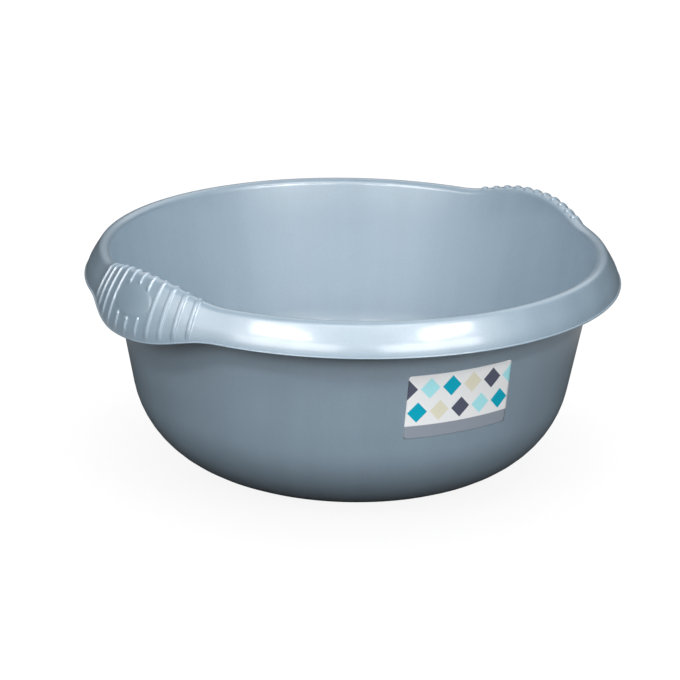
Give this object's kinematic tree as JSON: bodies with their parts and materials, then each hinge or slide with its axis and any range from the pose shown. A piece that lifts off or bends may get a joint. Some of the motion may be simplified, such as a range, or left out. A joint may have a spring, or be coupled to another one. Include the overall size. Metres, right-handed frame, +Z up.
{
  "type": "round washing up bowl",
  "caption": "Round plastic washing up bowl with a drafted wall, a rounded bottom, a turned-over rim, opposite ribbed hand grips and a small printed label on the outside",
  "frame": {"origin": "centre of the bowl on the surface it stands on", "axes": "+X through the middle of one hand grip, +Z up the bowl's axis, +Y completing the right-handed frame; the label faces about -Y"},
  "size_m": [0.3754, 0.3598, 0.1593],
  "materials": {
    "silver_plastic": "glossy silver-grey polypropylene with fine metallic flake",
    "adhesive": "clear tacky acrylic coat",
    "label_paper": null
  },
  "bodies": {
    "root": {"bowl": "silver_plastic", "label_adhesive": "adhesive", "label_face": "label_paper"}
  },
  "joints": []
}
